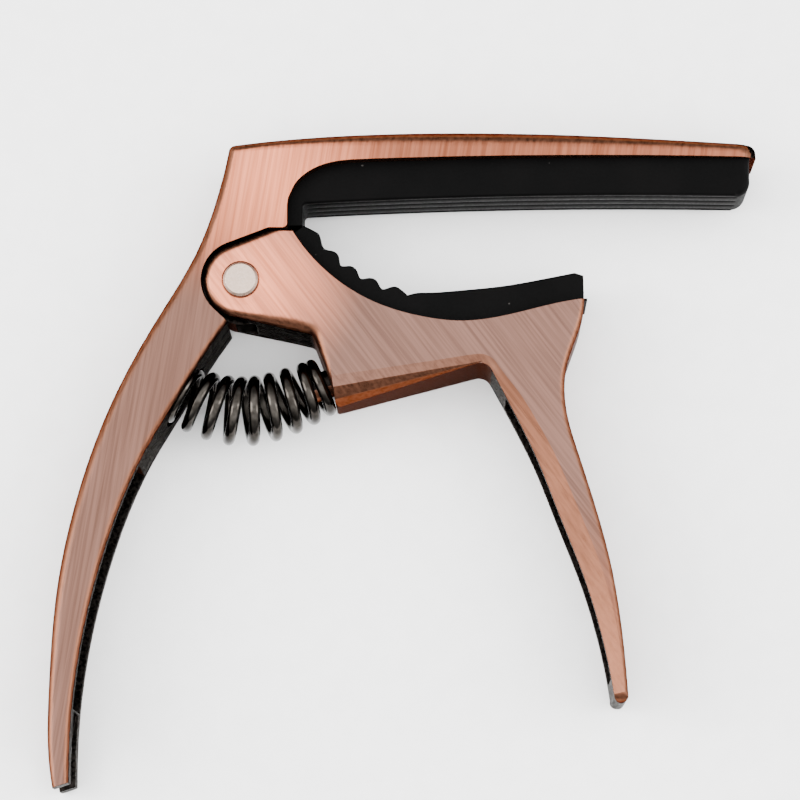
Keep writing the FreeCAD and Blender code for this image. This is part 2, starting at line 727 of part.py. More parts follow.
def string_pad():
    """The straight pad under the arm, with a leg down the frame's inner wall."""
    end = arm_reach - string_pad_end
    inside = wall_x + string_pad_leg
    leg_low = wall_foot + key_clearance
    wall_top = at(wall_x, arm_seat_height - wall_drop)
    level = arm_seat_height - string_pad_thickness
    face = at(inside + pad_leg_corner, level - pad_fall)
    top = seat_point(end)
    bow = pad_leg_corner * (1 - math.sqrt(0.5))
    corner = at(inside, face.y - pad_leg_corner)
    inner_corner = arc(corner, at(inside + bow, face.y - bow), face)
    end_in, end_round, end_out = round_corner(at(arm_root, level), at(end, level + pad_rise), top,
                                              pad_end_corner)
    edges = [inner_bend_curve(), line(wall_top, at(wall_x, leg_low)),
             line(at(wall_x, leg_low), at(inside, leg_low)), line(at(inside, leg_low), corner),
             inner_corner, bowed(face, pad_arch, end_in), end_round, line(end_out, top),
             arm_seat_curve(end)]
    low = middle - string_pad_width / 2
    pad = prism(edges, low, low + string_pad_width)
    pad = pad.common(plan_of_pad(end, string_pad_width, pad_plan_corner))
    soft = [edges[3], edges[4], edges[5], edges[6]]
    pad = rounded(pad, over(pad, soft), lambda point: pad_edge)
    return pad.fuse(string_key(0)).removeSplitter()


def plan_of_pad(end, width, radius):
    """A tall block with two round corners at its far end, to trim a pad in plan."""
    block = box(0, end, -20, 30, middle - width / 2, middle + width / 2)
    corners = upright_along_y(block, end)
    return block.makeFillet(radius, corners)


def upright_along_y(solid, x):
    """The solid's edges that run along Y at this X."""
    found = []
    for edge in solid.Edges:
        size = edge.BoundBox
        if abs(size.XMin - x) < 1e-3 and size.XLength < 1e-3 and size.ZLength < 1e-3:
            found.append(edge)
    return found


def neck_pad():
    """The curved pad on the jaw: ribbed beside the hinge, smooth toward its free end."""
    seat = pad_seat_points()
    end_x = seat[0].x
    top = reaching([(41.3, 1.3), (36.3, 0.3), (31.4, -0.55), (26.4, -1.05), (22.6, -1.3),
                    (20.9, -1.4)], jaw_root, jaw_stretch)
    valleys = [at(wall_x + string_pad_leg + pad_gap, wall_foot + 0.1), at(10.1, 4.1),
               at(12.05, 2.05), at(14.45, 0.45), at(17.05, -0.85), at(20.1, -1.63)]
    ribs = [valleys[0]]
    for a, b in zip(valleys, valleys[1:]):
        along = (b - a).normalize()
        out = at(-along.y, along.x) * neck_rib_height
        mid = (a + b) * 0.5
        shoulder = out * neck_rib_shoulder
        ribs += [mid - along * neck_rib_crown + shoulder, mid + out,
                 mid + along * neck_rib_crown + shoulder, b]
    flange = at(end_x + neck_flange, seat[0].y)
    foot = at(end_x, seat[0].y + neck_flange_thickness)
    edges = [spline(seat), spline(top + [valleys[-1]]), spline(ribs), line(ribs[0], seat[-1]),
             line(seat[0], flange), line(flange, flange + at(0, neck_flange_thickness)),
             line(flange + at(0, neck_flange_thickness), foot), line(foot, top[0])]
    low = middle - neck_pad_width / 2
    pad = prism(edges, low, low + neck_pad_width)
    return pad.fuse(neck_key(0)).removeSplitter()


def spring():
    """A round wire wound left-handed round its bowed centre line."""
    path = spring_path()
    length = path.length()
    first = spring_wire / 2 + spring_start_gap
    last = spring_front_turn + spring_turns_after * spring_pitch
    steps = int((last - first) / spring_pitch * 14)
    points = [wire_point(path, length, first + (last - first) * i / steps)
              for i in range(steps + 1)]
    wire = smooth(points)
    start = wire.value(wire.FirstParameter)
    along = wire.tangent(wire.FirstParameter)[0]
    ring = Part.Wire(Part.Circle(start, along, spring_wire / 2).toShape())
    return Part.Wire(wire.toShape()).makePipeShell([ring], True, True)


def pivot_pin():
    pin = Part.makeCylinder(pin_radius, body_thickness + pin_proud - pin_recess,
                            at(0, 0, pin_recess))
    return pin.makeChamfer(pin_chamfer, [e for e in pin.Edges if abs(e.BoundBox.ZLength) < 1e-6])


def pivot_washer(low):
    ring = disc(washer_radius, low, low + washer_thickness)
    return ring.cut(disc(pin_radius + pin_bore_clearance, low - 1, low + 2))


def main():
    os.makedirs("parts", exist_ok=True)
    pieces = {
        "upper_frame": upper_frame(),
        "lower_jaw": lower_jaw(),
        "pivot_pin": pivot_pin(),
        "pivot_washer_low": pivot_washer(middle - tongue_thickness / 2 - washer_thickness),
        "pivot_washer_high": pivot_washer(middle + tongue_thickness / 2),
        "string_pad": string_pad(),
        "neck_pad": neck_pad(),
        "return_spring": spring(),
    }
    whole = Part.makeCompound(list(pieces.values())).optimalBoundingBox(False, False)
    shift = at(-whole.Center.x, -whole.Center.y, -whole.ZMin)
    print("pivot axis at", shift, "overall", whole.XLength, whole.YLength, whole.ZLength)
    for name, shape in pieces.items():
        shape.translate(shift)
        shape.exportStep("parts/%s.step" % name)


if __name__ == "__main__":
    main()
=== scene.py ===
"""The guitar capo's looks: brushed antique copper castings, black-nickel hollows and spring,
moulded silicone pads and a steel pin, lying on a pale floor under soft studio light.

Lengths are in metres; MM turns the millimetre values below into metres. Every place is measured
from the pivot axis, which comes from the record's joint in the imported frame.
"""

import json
import math

import bpy
import bmesh
from mathutils import Euler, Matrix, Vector


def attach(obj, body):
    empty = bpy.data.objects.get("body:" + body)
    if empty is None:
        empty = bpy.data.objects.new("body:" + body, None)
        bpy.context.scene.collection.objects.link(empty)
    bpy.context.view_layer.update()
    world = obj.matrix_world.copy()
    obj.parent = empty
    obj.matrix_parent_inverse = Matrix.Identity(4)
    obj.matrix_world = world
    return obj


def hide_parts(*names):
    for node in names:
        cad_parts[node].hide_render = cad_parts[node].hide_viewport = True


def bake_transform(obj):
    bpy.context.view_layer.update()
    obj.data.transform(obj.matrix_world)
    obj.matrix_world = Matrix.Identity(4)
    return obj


MM = 0.001
STEEP = 0.2                  # a face whose normal's Z is past this looks up or down

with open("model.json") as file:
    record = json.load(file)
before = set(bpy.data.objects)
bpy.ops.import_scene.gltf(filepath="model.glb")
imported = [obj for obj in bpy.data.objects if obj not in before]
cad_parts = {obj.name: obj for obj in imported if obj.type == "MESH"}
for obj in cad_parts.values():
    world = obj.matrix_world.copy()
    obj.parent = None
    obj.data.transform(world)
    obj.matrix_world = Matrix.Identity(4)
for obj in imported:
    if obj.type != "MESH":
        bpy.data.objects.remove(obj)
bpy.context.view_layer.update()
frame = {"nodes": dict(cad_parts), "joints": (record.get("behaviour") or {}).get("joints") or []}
pivot = Vector(frame["joints"][0]["pos_m"])
base = Vector((pivot.x, pivot.y, 0.0))

# Millimetres, from the pivot axis and above the resting plane.
SEAT_EDGE = 0.03             # rounding where a pad lies against its casting
STRING_PAD_LOW, STRING_PAD_HIGH = 1.7, 10.3
STRING_PAD_END = 61.65
STRING_PAD_EDGE = 0.4        # rounding along the contact face
STRING_PAD_LEG_EDGE = 0.2
STRING_PAD_END_EDGE = 0.9    # rounding down the free end
STRING_PAD_TIP = 1.8         # radius of the free end's lower corner
STRING_PAD_FACE_ARCH = 0.47
STRING_PAD_SEAT_ARCH = 0.29
STRING_PAD_WALL = 5.56       # the leg's outer side
STRING_PAD_LEG = 7.36        # the leg's inner side
STRING_PAD_LEG_END = 6.95
STRING_PAD_LEG_CORNER = 0.5  # radius between the leg and the contact face
STRING_PAD_GROOVES = (2.75, 4.9, 7.1, 9.25)
STRING_PAD_GROOVE_DEPTH, STRING_PAD_GROOVE_HALF_WIDTH = 0.16, 0.28

NECK_PAD_LOW, NECK_PAD_HIGH = 1.6, 10.4
NECK_PAD_EDGE = 0.35
NECK_PAD_RIB_EDGE = 0.28
NECK_PAD_FLANGE_EDGE = 0.12
NECK_PAD_GROOVES = (2.9, 9.1)
NECK_PAD_GROOVE_DEPTH, NECK_PAD_GROOVE_HALF_WIDTH = 0.1, 0.22
RIB_HEIGHT = 0.68
RIB_CROWN = 0.52             # half the width of a rib's crown
RIB_SHOULDER = 0.8           # height of the crown's sides, as a share of the rib's

SPRING_REAR = Vector((-9.5, -12.2, 6))
SPRING_FRONT = Vector((10.66, -11.7, 6))
SPRING_SLOPE = 25            # degrees, at both ends
SPRING_BOW = 10              # how far it holds those slopes
WIRE_RADIUS = 0.7
COIL_PITCH = 2.27
COIL_FRONT = 9.4             # distance along the wire's way at which a turn faces up
COIL_START, COIL_END = 0.8, 21.4
COIL_END_RADIUS, COIL_SWELL = 2.85, 0.75
SEAT_GAP = 0.5               # from the last turn to the jaw's seat
SEAT_BLEND = 0.3             # how gently the last turn lies down on the seat


def beside_pivot(x, y, z=0.0):
    """A point given in millimetres from the pivot axis, above the resting plane."""
    return base + Vector((x, y, z)) * MM


# ---- node helpers ---------------------------------------------------------------------------
class Graph:
    """A short way to write a material's nodes."""

    def __init__(self, name):
        self.material = bpy.data.materials.new(name)
        self.material.use_nodes = True
        self.tree = self.material.node_tree
        self.tree.nodes.clear()
        self.shader = self.add("ShaderNodeBsdfPrincipled")
        output = self.add("ShaderNodeOutputMaterial")
        self.link(self.shader.outputs["BSDF"], output.inputs["Surface"])
        self.coordinates = self.add("ShaderNodeTexCoord").outputs["Object"]

    def add(self, kind, **values):
        node = self.tree.nodes.new(kind)
        for key, value in values.items():
            setattr(node, key, value)
        return node

    def link(self, source, target):
        self.tree.links.new(source, target)

    def feed(self, socket, value):
        """Joins a socket to another node's output, or sets its value."""
        if isinstance(value, bpy.types.NodeSocket):
            self.link(value, socket)
        else:
            socket.default_value = value

    def math(self, operation, first, second=0.0):
        node = self.add("ShaderNodeMath", operation=operation)
        self.feed(node.inputs[0], first)
        self.feed(node.inputs[1], second)
        return node.outputs[0]

    def ramp(self, value, low, high, out_low=0.0, out_high=1.0):
        node = self.add("ShaderNodeMapRange", interpolation_type="SMOOTHSTEP")
        self.feed(node.inputs["Value"], value)
        self.feed(node.inputs["From Min"], low)
        self.feed(node.inputs["From Max"], high)
        self.feed(node.inputs["To Min"], out_low)
        self.feed(node.inputs["To Max"], out_high)
        return node.outputs["Result"]

    def blend(self, share, first, second):
        node = self.add("ShaderNodeMix", data_type="RGBA", blend_type="MIX")
        self.feed(node.inputs["Factor"], share)
        self.feed(node.inputs["A"], first)
        self.feed(node.inputs["B"], second)
        return node.outputs["Result"]

    def turned(self, angle=0.0, stretch=(1, 1, 1), offset=(0, 0, 0)):
        """The object's coordinates turned about Z by angle, then scaled."""
        turn = self.add("ShaderNodeMapping", vector_type="TEXTURE")
        turn.inputs["Rotation"].default_value = (0, 0, angle)
        turn.inputs["Location"].default_value = offset
        self.link(self.coordinates, turn.inputs["Vector"])
        scale = self.add("ShaderNodeMapping")
        scale.inputs["Scale"].default_value = stretch
        self.link(turn.outputs["Vector"], scale.inputs["Vector"])
        return scale.outputs["Vector"]

    def noise(self, vector, scale, detail=3.0, roughness=0.6):
        node = self.add("ShaderNodeTexNoise")
        self.link(vector, node.inputs["Vector"])
        node.inputs["Scale"].default_value = scale
        node.inputs["Detail"].default_value = detail
        node.inputs["Roughness"].default_value = roughness
        return node.outputs["Fac"]

    def bump(self, height, strength, distance, normal=None):
        node = self.add("ShaderNodeBump")
        node.inputs["Strength"].default_value = strength
        node.inputs["Distance"].default_value = distance
        self.link(height, node.inputs["Height"])
        if normal is not None:
            self.link(normal, node.inputs["Normal"])
        return node.outputs["Normal"]

    def soft_edges(self, radius):
        node = self.add("ShaderNodeBevel", samples=6)
        node.inputs["Radius"].default_value = radius
        return node.outputs["Normal"]

    def flatness(self, low, high):
        """How nearly the surface faces straight up or down: 0 below low, 1 above high."""
        normal = self.add("ShaderNodeNewGeometry").outputs["Normal"]
        split = self.add("ShaderNodeSeparateXYZ")
        self.link(normal, split.inputs[0])
        return self.ramp(self.math("ABSOLUTE", split.outputs["Z"]), low, high)

    def set(self, **values):
        for name, value in values.items():
            self.feed(self.shader.inputs[name.replace("_", " ")], value)


def colour(red, green, blue):
    return (red, green, blue, 1.0)


# ---- materials ------------------------------------------------------------------------------
def brushed_copper(name, lean, warm_centre, low_tones, high_tones, low_y, high_y):
    """Antique copper plate, brushed in one direction; its rounded edges are painted a darker
    copper, partly their own plainer tone and partly painted shade.
    The plate's dark and light tones change from low_tones to high_tones between two heights."""
    g = Graph(name)
    fine = g.noise(g.turned(lean, (1, 0.012, 1)), 9000, 4.0, 0.7)
    lines = g.noise(g.turned(lean, (1, 0.02, 1), (0.004, 0.01, 0)), 2600, 3.0, 0.6)
    broad = g.noise(g.turned(lean, (1, 0.06, 1)), 500, 2.0, 0.5)
    patches = g.noise(g.turned(lean, (1, 0.35, 1)), 90, 2.0, 0.5)
    distance = g.add("ShaderNodeVectorMath", operation="DISTANCE")
    g.link(g.coordinates, distance.inputs[0])
    distance.inputs[1].default_value = warm_centre
    warm_core, warm_reach = 3 * MM, 17 * MM
    warmth = g.ramp(distance.outputs["Value"], warm_core, warm_reach, 1.0, 0.0)
    split = g.add("ShaderNodeSeparateXYZ")
    g.link(g.coordinates, split.inputs[0])
    height_share = g.ramp(split.outputs["Y"], low_y, high_y)

    flat = g.flatness(0.90, 0.995)
    streak = g.ramp(lines, 0.3, 0.7)
    # Rounded edges and bevels: a darker, plainer copper, partly the bevels' own tone and partly
    # painted shade where they turn away from the light.
    edge_tone_and_shade = g.blend(streak, colour(0.082, 0.033, 0.019), colour(0.130, 0.054, 0.032))
    dark = g.blend(height_share, low_tones[0], high_tones[0])
    light = g.blend(height_share, low_tones[1], high_tones[1])
    plain = g.blend(streak, dark, light)
    warm_tone = g.blend(streak, colour(0.54, 0.160, 0.080), colour(0.84, 0.270, 0.145))
    plain = g.blend(g.math("MULTIPLY", warmth, 0.92), plain, warm_tone)
    plain = g.blend(g.ramp(broad, 0.35, 0.75, 0.0, 0.3), plain, light)
    plain = g.blend(g.ramp(patches, 0.35, 0.7, 0.0, 0.2), plain, dark)
    tone = g.blend(flat, edge_tone_and_shade, plain)
    scratch = g.ramp(fine, 0.62, 0.78, 0.0, 0.22)
    tone = g.blend(scratch, tone, colour(0.36, 0.17, 0.12))
    rough = g.math("ADD", g.ramp(lines, 0.3, 0.7, 0.0, 0.1), g.ramp(fine, 0.3, 0.7, 0.25, 0.34))

    brushing_depth, edge_softness = 0.012 * MM, 0.12 * MM
    height = g.math("ADD", g.math("MULTIPLY", fine, 0.6), g.math("MULTIPLY", lines, 0.4))
    normal = g.bump(height, 0.35, brushing_depth, g.soft_edges(edge_softness))
    g.set(Base_Color=tone, Metallic=1.0, Roughness=rough, Normal=normal)
    g.shader.inputs["Specular Tint"].default_value = colour(0.20, 0.14, 0.12)
    return g.material


def black_nickel(name):
    """The dark plating left in the castings' hollows, glossy over a rippled cast skin."""
    g = Graph(name)
    ripple = g.noise(g.turned(0.2, (1, 0.5, 1)), 320, 3.0, 0.5)
    grain = g.noise(g.coordinates, 2400)
    tone = g.blend(g.ramp(grain, 0.35, 0.7),
                   colour(0.005, 0.0042, 0.0037), colour(0.015, 0.0125, 0.011))
    rough = g.ramp(grain, 0.3, 0.75, 0.2, 0.42)
    height = g.math("ADD", ripple, g.math("MULTIPLY", grain, 0.15))
    ripple_depth, edge_softness = 0.12 * MM, 0.15 * MM
    normal = g.bump(height, 0.5, ripple_depth, g.soft_edges(edge_softness))
    g.set(Base_Color=tone, Metallic=1.0, Roughness=rough, Normal=normal)
    g.shader.inputs["Specular Tint"].default_value = colour(0.10, 0.09, 0.08)
    return g.material


def spring_nickel(name):
    """Black-nickel plated spring wire: a dark mirror with faint drawing marks."""
    g = Graph(name)
    mottle = g.noise(g.coordinates, 900)
    pits = g.noise(g.coordinates, 5200, 2.0, 0.5)
    tone = g.blend(g.ramp(mottle, 0.35, 0.7),
                   colour(0.016, 0.014, 0.012), colour(0.040, 0.036, 0.032))
    rough = g.ramp(pits, 0.35, 0.75, 0.10, 0.22)
    mark_depth = 0.03 * MM
    g.set(Base_Color=tone, Metallic=1.0, Roughness=rough,
          Normal=g.bump(mottle, 0.25, mark_depth))
    return g.material


def silicone(name):
    """Matte black moulded silicone with a faint mould grain and a few specks of dust."""
    g = Graph(name)
    grain = g.noise(g.coordinates, 3800, 4.0, 0.65)
    cloud = g.noise(g.coordinates, 160, 2.0, 0.5)
    specks = g.noise(g.turned(0.4, (1, 1, 1), (0.02, 0.03, 0.01)), 1500, 1.0, 0.4)
    dust = g.ramp(specks, 0.80, 0.83, 0.0, 0.35)
    tone = g.blend(g.ramp(cloud, 0.3, 0.7),
                   colour(0.0007, 0.0007, 0.0007), colour(0.0012, 0.0011, 0.0011))
    tone = g.blend(dust, tone, colour(0.07, 0.065, 0.06))
    rough = g.ramp(grain, 0.3, 0.7, 0.5, 0.66)
    grain_depth = 0.02 * MM
    g.set(Base_Color=tone, Roughness=rough, Normal=g.bump(grain, 0.35, grain_depth))
    g.shader.inputs["Specular IOR Level"].default_value = 0.03
    return g.material


def pin_steel(name):
    """The hinge pin's steel: pale and satin, with a few dark stains on its end."""
    g = Graph(name)
    stains = g.noise(g.turned(0.8, (1, 0.55, 1), (0.001, 0.0005, 0)), 1400, 4.0, 0.7)
    lathe = g.noise(g.coordinates, 4200)
    centre = g.add("ShaderNodeVectorMath", operation="DISTANCE")
    flatten = g.add("ShaderNodeVectorMath", operation="MULTIPLY")
    flatten.inputs[1].default_value = (1, 1, 0)
    g.link(g.coordinates, flatten.inputs[0])
    g.link(flatten.outputs[0], centre.inputs[0])
    centre.inputs[1].default_value = (pivot.x, pivot.y, 0)
    stain_core, stain_reach = 0.5 * MM, 1.3 * MM
    inner = g.ramp(centre.outputs["Value"], stain_core, stain_reach, 1.0, 0.0)
    mark = g.math("MULTIPLY", g.ramp(stains, 0.56, 0.68), inner)
    tone = g.blend(g.ramp(lathe, 0.3, 0.7), colour(0.37, 0.275, 0.22), colour(0.45, 0.345, 0.28))
    tone = g.blend(g.math("MULTIPLY", mark, 0.55), tone, colour(0.28, 0.26, 0.25))
    rough = g.ramp(lathe, 0.3, 0.7, 0.30, 0.42)
    stain_depth, edge_softness = 0.03 * MM, 0.08 * MM
    normal = g.bump(stains, 0.2, stain_depth, g.soft_edges(edge_softness))
    g.set(Base_Color=tone, Metallic=1.0, Roughness=rough, Normal=normal)
    return g.material


def nylon(name):
    """Natural nylon for the two hidden washers."""
    g = Graph(name)
    grain = g.noise(g.coordinates, 3000)
    tone = g.blend(g.ramp(grain, 0.3, 0.7), colour(0.62, 0.58, 0.50), colour(0.72, 0.69, 0.62))
    grain_depth = 0.02 * MM
    g.set(Base_Color=tone, Roughness=g.ramp(grain, 0.3, 0.7, 0.4, 0.55),
          Normal=g.bump(grain, 0.2, grain_depth))
    return g.material


# ---- the castings ---------------------------------------------------------------------------
def dress(node, *materials):
    """Gives a CAD node these materials in place of its own."""
    mesh = frame["nodes"][node].data
    mesh.materials.clear()
    for material in materials:
        mesh.materials.append(material)
    return mesh


def between_side_faces(where):
    """Whether a face that looks up or down lies inside the thickness, not on a side face."""
    inset = 1.5
    side_high = 12.0
    return inset < where.z < side_high - inset


def paint(node, outer, hollow, is_hollow):
    """Gives a casting its plate outside, and the dark plating on faces that lie in its hollows."""
    mesh = dress(node, outer, hollow)
    for face in mesh.polygons:
        where = (face.center - base) / MM
        face.material_index = 1 if is_hollow(where, face.normal) else 0


def in_frame_hollow(where, normal):
    """The rear handle's inner side: its channel, pocket, rims and the hinge recess."""
    if abs(normal.z) > STEEP:
        return between_side_faces(where)
    recess_top = 6.35
    faces_spring = normal.x * 0.9 - normal.y * 0.45 > 0.25
    return where.y < recess_top and faces_spring


def in_jaw_hollow(where, normal):
    """The jaw's tongue slot, the ears' underside, the channel and the trigger's inner side."""
    belly_start, belly_end = 9.0, 29.5
    if belly_start < where.x < belly_end and normal.y < -0.25:
        return False
    if abs(normal.z) > STEEP:
        return between_side_faces(where)
    ear_end, ear_low = 8.6, -3.0
    ear_underside = where.x < ear_end and where.y < ear_low and normal.y < -0.5
    slot_reach, slot_low, slot_high, slot_end = 9.0, 2.9, 9.1, 6.2
    in_slot = slot_low < where.z < slot_high and where.x < slot_end
    slot = where.length < slot_reach and in_slot
    on_trigger = where.y < -11.5
    channel = on_trigger and normal.x < -0.3 and where.x > 28
    across_channel = abs(normal.y) > 0.5 and 1.9 < where.z < 10.1
    channel_end = on_trigger and across_channel and where.x > 30
    return ear_underside or slot or channel or channel_end


# ---- own pieces for the soft pads and the spring --------------------------------------------
def second_slopes(values, steps):
    """The second derivatives of the natural cubic spline through values spaced by steps."""
    count = len(values)
    diagonal, right = [1.0] * count, [0.0] * count
    for i in range(1, count - 1):
        ahead = (values[i + 1] - values[i]) / steps[i]
        behind = (values[i] - values[i - 1]) / steps[i - 1]
        diagonal[i] = 2 * (steps[i - 1] + steps[i])
        right[i] = 6 * (ahead - behind)
        if i > 1:
            carried = steps[i - 1] / diagonal[i - 1]
            diagonal[i] -= carried * steps[i - 1]
            right[i] -= carried * right[i - 1]
    second = [0.0] * count
    for i in range(count - 2, 0, -1):
        second[i] = (right[i] - steps[i] * second[i + 1]) / diagonal[i]
    return second


def smooth_through(points, per_span):
    """Points along the natural cubic spline that passes through the given ones."""
    steps = [math.dist(a, b) for a, b in zip(points, points[1:])]
    axes = []
    for axis in (0, 1):
        values = [point[axis] for point in points]
        axes.append((values, second_slopes(values, steps)))
    result = []
    for i, step in enumerate(steps):
        for k in range(per_span):
            b = k / per_span
            a = 1 - b
            result.append(tuple(
                a * values[i] + b * values[i + 1]
                + ((a ** 3 - a) * second[i] + (b ** 3 - b) * second[i + 1]) * step ** 2 / 6
                for values, second in axes))
    result.append(tuple(points[-1]))
    return result


def arched(start, end, rise, count):
    """Points along a shallow arch between two points; rise is to the left of the way along."""
    length = math.dist(start, end)
    across = (-(end[1] - start[1]) / length, (end[0] - start[0]) / length)
    points = []
    for k in range(count + 1):
        share = k / count
        lift = rise * 4 * share * (1 - share)
        points.append(tuple(start[i] + (end[i] - start[i]) * share + across[i] * lift
                            for i in (0, 1)))
    return points


def turned_corner(centre, radius, first, last, count):
    """Points round an arc, from one angle to another in degrees."""
    points = []
    for k in range(count + 1):
        angle = math.radians(first + (last - first) * k / count)
        points.append((centre[0] + radius * math.cos(angle),
                       centre[1] + radius * math.sin(angle)))
    return points


def inward_ways(outline):
    """At each point of a counterclockwise outline, the way that moves its two sides inward by 1."""
    ways = []
    count = len(outline)
    for i in range(count):
        before, here, after = outline[i - 1], outline[i], outline[(i + 1) % count]
        normals = []
        for a, b in ((before, here), (here, after)):
            length = math.hypot(b[0] - a[0], b[1] - a[1])
            normals.append((-(b[1] - a[1]) / length, (b[0] - a[0]) / length))
        sum_x, sum_y = normals[0][0] + normals[1][0], normals[0][1] + normals[1][1]
        sharpest = 0.9
        size = max(math.hypot(sum_x, sum_y), sharpest)
        stretch = 2 / size ** 2
        ways.append((sum_x * stretch, sum_y * stretch))
    return ways


def moulded_rings(grooves):
    """The rings of a moulded strip from bottom to top: which edge each is measured from, how much
    of the edge rounding it is inset by, its height, and the depth of its groove."""
    turns = 6
    rounding = []
    for k in range(turns + 1):
        angle = math.pi / 2 * k / turns
        rounding.append((1 - math.sin(angle), 1 - math.cos(angle)))
    profile = ((-1, 0), (-0.6, 0.35), (-0.25, 0.95), (0.25, 0.95), (0.6, 0.35), (1, 0))
    rings = [("low", inset, across, 0.0) for inset, across in rounding]
    for z, depth, half_width in grooves:
        rings += [("flat", 0.0, z + aside * half_width, share * depth) for aside, share in profile]
    rings += [("high", inset, across, 0.0) for inset, across in reversed(rounding)]
    return rings


def skin(shape, rows):
    """Joins rows of vertices, each a closed loop, into a tube, and closes both of its ends."""
    count = len(rows[0])
    for lower, upper in zip(rows, rows[1:]):
        for i in range(count):
            j = (i + 1) % count
            shape.faces.new((lower[i], lower[j], upper[j], upper[i]))
    return [shape.faces.new(list(reversed(rows[0]))), shape.faces.new(rows[-1])]


def moulded(name, outline, low, high, grooves):
    """A moulded strip: a closed outline of (x, y, edge radius, share of the grooves), run from low
    to high. Its edges are rounded by the radius, and the grooves are (z, depth, half width)."""
    inward = inward_ways(outline)
    shape = bmesh.new()
    rows = []
    for kind, inset, across, groove in moulded_rings(grooves):
        row = []
        for (x, y, radius, share), (in_x, in_y) in zip(outline, inward):
            shift = inset * radius + groove * share
            heights = {"low": low + across * radius, "flat": across,
                       "high": high - across * radius}
            place = beside_pivot(x + in_x * shift, y + in_y * shift, heights[kind])
            row.append(shape.verts.new(place))
        rows.append(row)
    caps = skin(shape, rows)
    bmesh.ops.triangulate(shape, faces=caps)
    crease = 35
    return finished(name, shape, crease)


def finished(name, shape, crease):
    """Turns a bmesh into a smooth-shaded object whose edges sharper than crease stay crisp."""
    bmesh.ops.recalc_face_normals(shape, faces=shape.faces)
    mesh = bpy.data.meshes.new(name)
    shape.to_mesh(mesh)
    shape.free()
    for face in mesh.polygons:
        face.use_smooth = True
    mesh.set_sharp_from_angle(angle=math.radians(crease))
    piece = bpy.data.objects.new(name, mesh)
    bpy.context.collection.objects.link(piece)
    return piece


def with_edge(points, radius, share=0.0):
    return [(x, y, radius, share) for x, y in points]


def without_repeats(outline):
    """The closed outline without points that lie on the one before."""
    nearest = 0.01
    kept = []
    for point in outline:
        if not kept or math.dist(point[:2], kept[-1][:2]) > nearest:
            kept.append(point)
    if math.dist(kept[0][:2], kept[-1][:2]) < nearest:
        kept.pop()
    return kept


def make_pad(piece, material, body, node):
    """Gives a silicone pad its material, parents it to the body it rides on and hides the CAD part
    it stands for.
    """
    piece.data.materials.append(material)
    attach(piece, body)
    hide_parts(node)


def make_string_pad(material):
    """The straight pad under the arm: its leg, its arched contact face and four fine grooves."""
    end, leg, wall = STRING_PAD_END, STRING_PAD_LEG, STRING_PAD_WALL
    leg_corner, tip_corner = STRING_PAD_LEG_CORNER, STRING_PAD_TIP
    face_low, face_high = 9.75, 10.55
    corner_centre = (leg + leg_corner, face_low - leg_corner)
    face_start, face_end = (leg + leg_corner, face_low), (end - tip_corner, face_high)
    tip_centre = (end - tip_corner, face_high + tip_corner)
    seat_tip, seat_root = (end, 15.2), (16.0, 14.88)
    bend = [seat_root, (10.74, 14.42), (8.58, 13.6), (7.4, 12.78), (6.5, 11.8), (5.95, 10.7),
            (wall, 8.8)]
    leg_sides = [(leg, STRING_PAD_LEG_END), (leg, 8.2)]
    wall_sides = [(wall, 8.0), (wall, STRING_PAD_LEG_END)]
    end_sides = [(end, 13.5), (end, 14.6)]
    outline = (
        with_edge(leg_sides, STRING_PAD_LEG_EDGE)
        + with_edge(turned_corner(corner_centre, leg_corner, 180, 90, 6), STRING_PAD_EDGE)
        + with_edge(arched(face_start, face_end, STRING_PAD_FACE_ARCH, 40), STRING_PAD_EDGE, 1.0)
        + with_edge(turned_corner(tip_centre, tip_corner, -90, 0, 10), STRING_PAD_END_EDGE)
        + with_edge(end_sides, STRING_PAD_END_EDGE)
        + with_edge(arched(seat_tip, seat_root, -STRING_PAD_SEAT_ARCH, 30), SEAT_EDGE)
        + with_edge(smooth_through(bend, 6), SEAT_EDGE)
        + with_edge(wall_sides, SEAT_EDGE))
    grooves = [(z, STRING_PAD_GROOVE_DEPTH, STRING_PAD_GROOVE_HALF_WIDTH)
               for z in STRING_PAD_GROOVES]
    piece = moulded("string_pad_moulded", without_repeats(outline),
                    STRING_PAD_LOW, STRING_PAD_HIGH, grooves)
    make_pad(piece, material, "frame_body", "string_pad")


def ribbed(valleys):
    """Points along rounded ribs, one between each valley and the next."""
    points = [valleys[0]]
    for a, b in zip(valleys, valleys[1:]):
        length = math.dist(a, b)
        along = ((b[0] - a[0]) / length, (b[1] - a[1]) / length)
        out = (along[1], -along[0])
        centre = ((a[0] + b[0]) / 2, (a[1] + b[1]) / 2)
        for forward, lift in ((-RIB_CROWN, RIB_SHOULDER), (0.0, 1.0), (RIB_CROWN, RIB_SHOULDER)):
            points.append(tuple(centre[i] + along[i] * forward + out[i] * lift * RIB_HEIGHT
                                for i in (0, 1)))
        points.append(b)
    return smooth_through(points, 5)


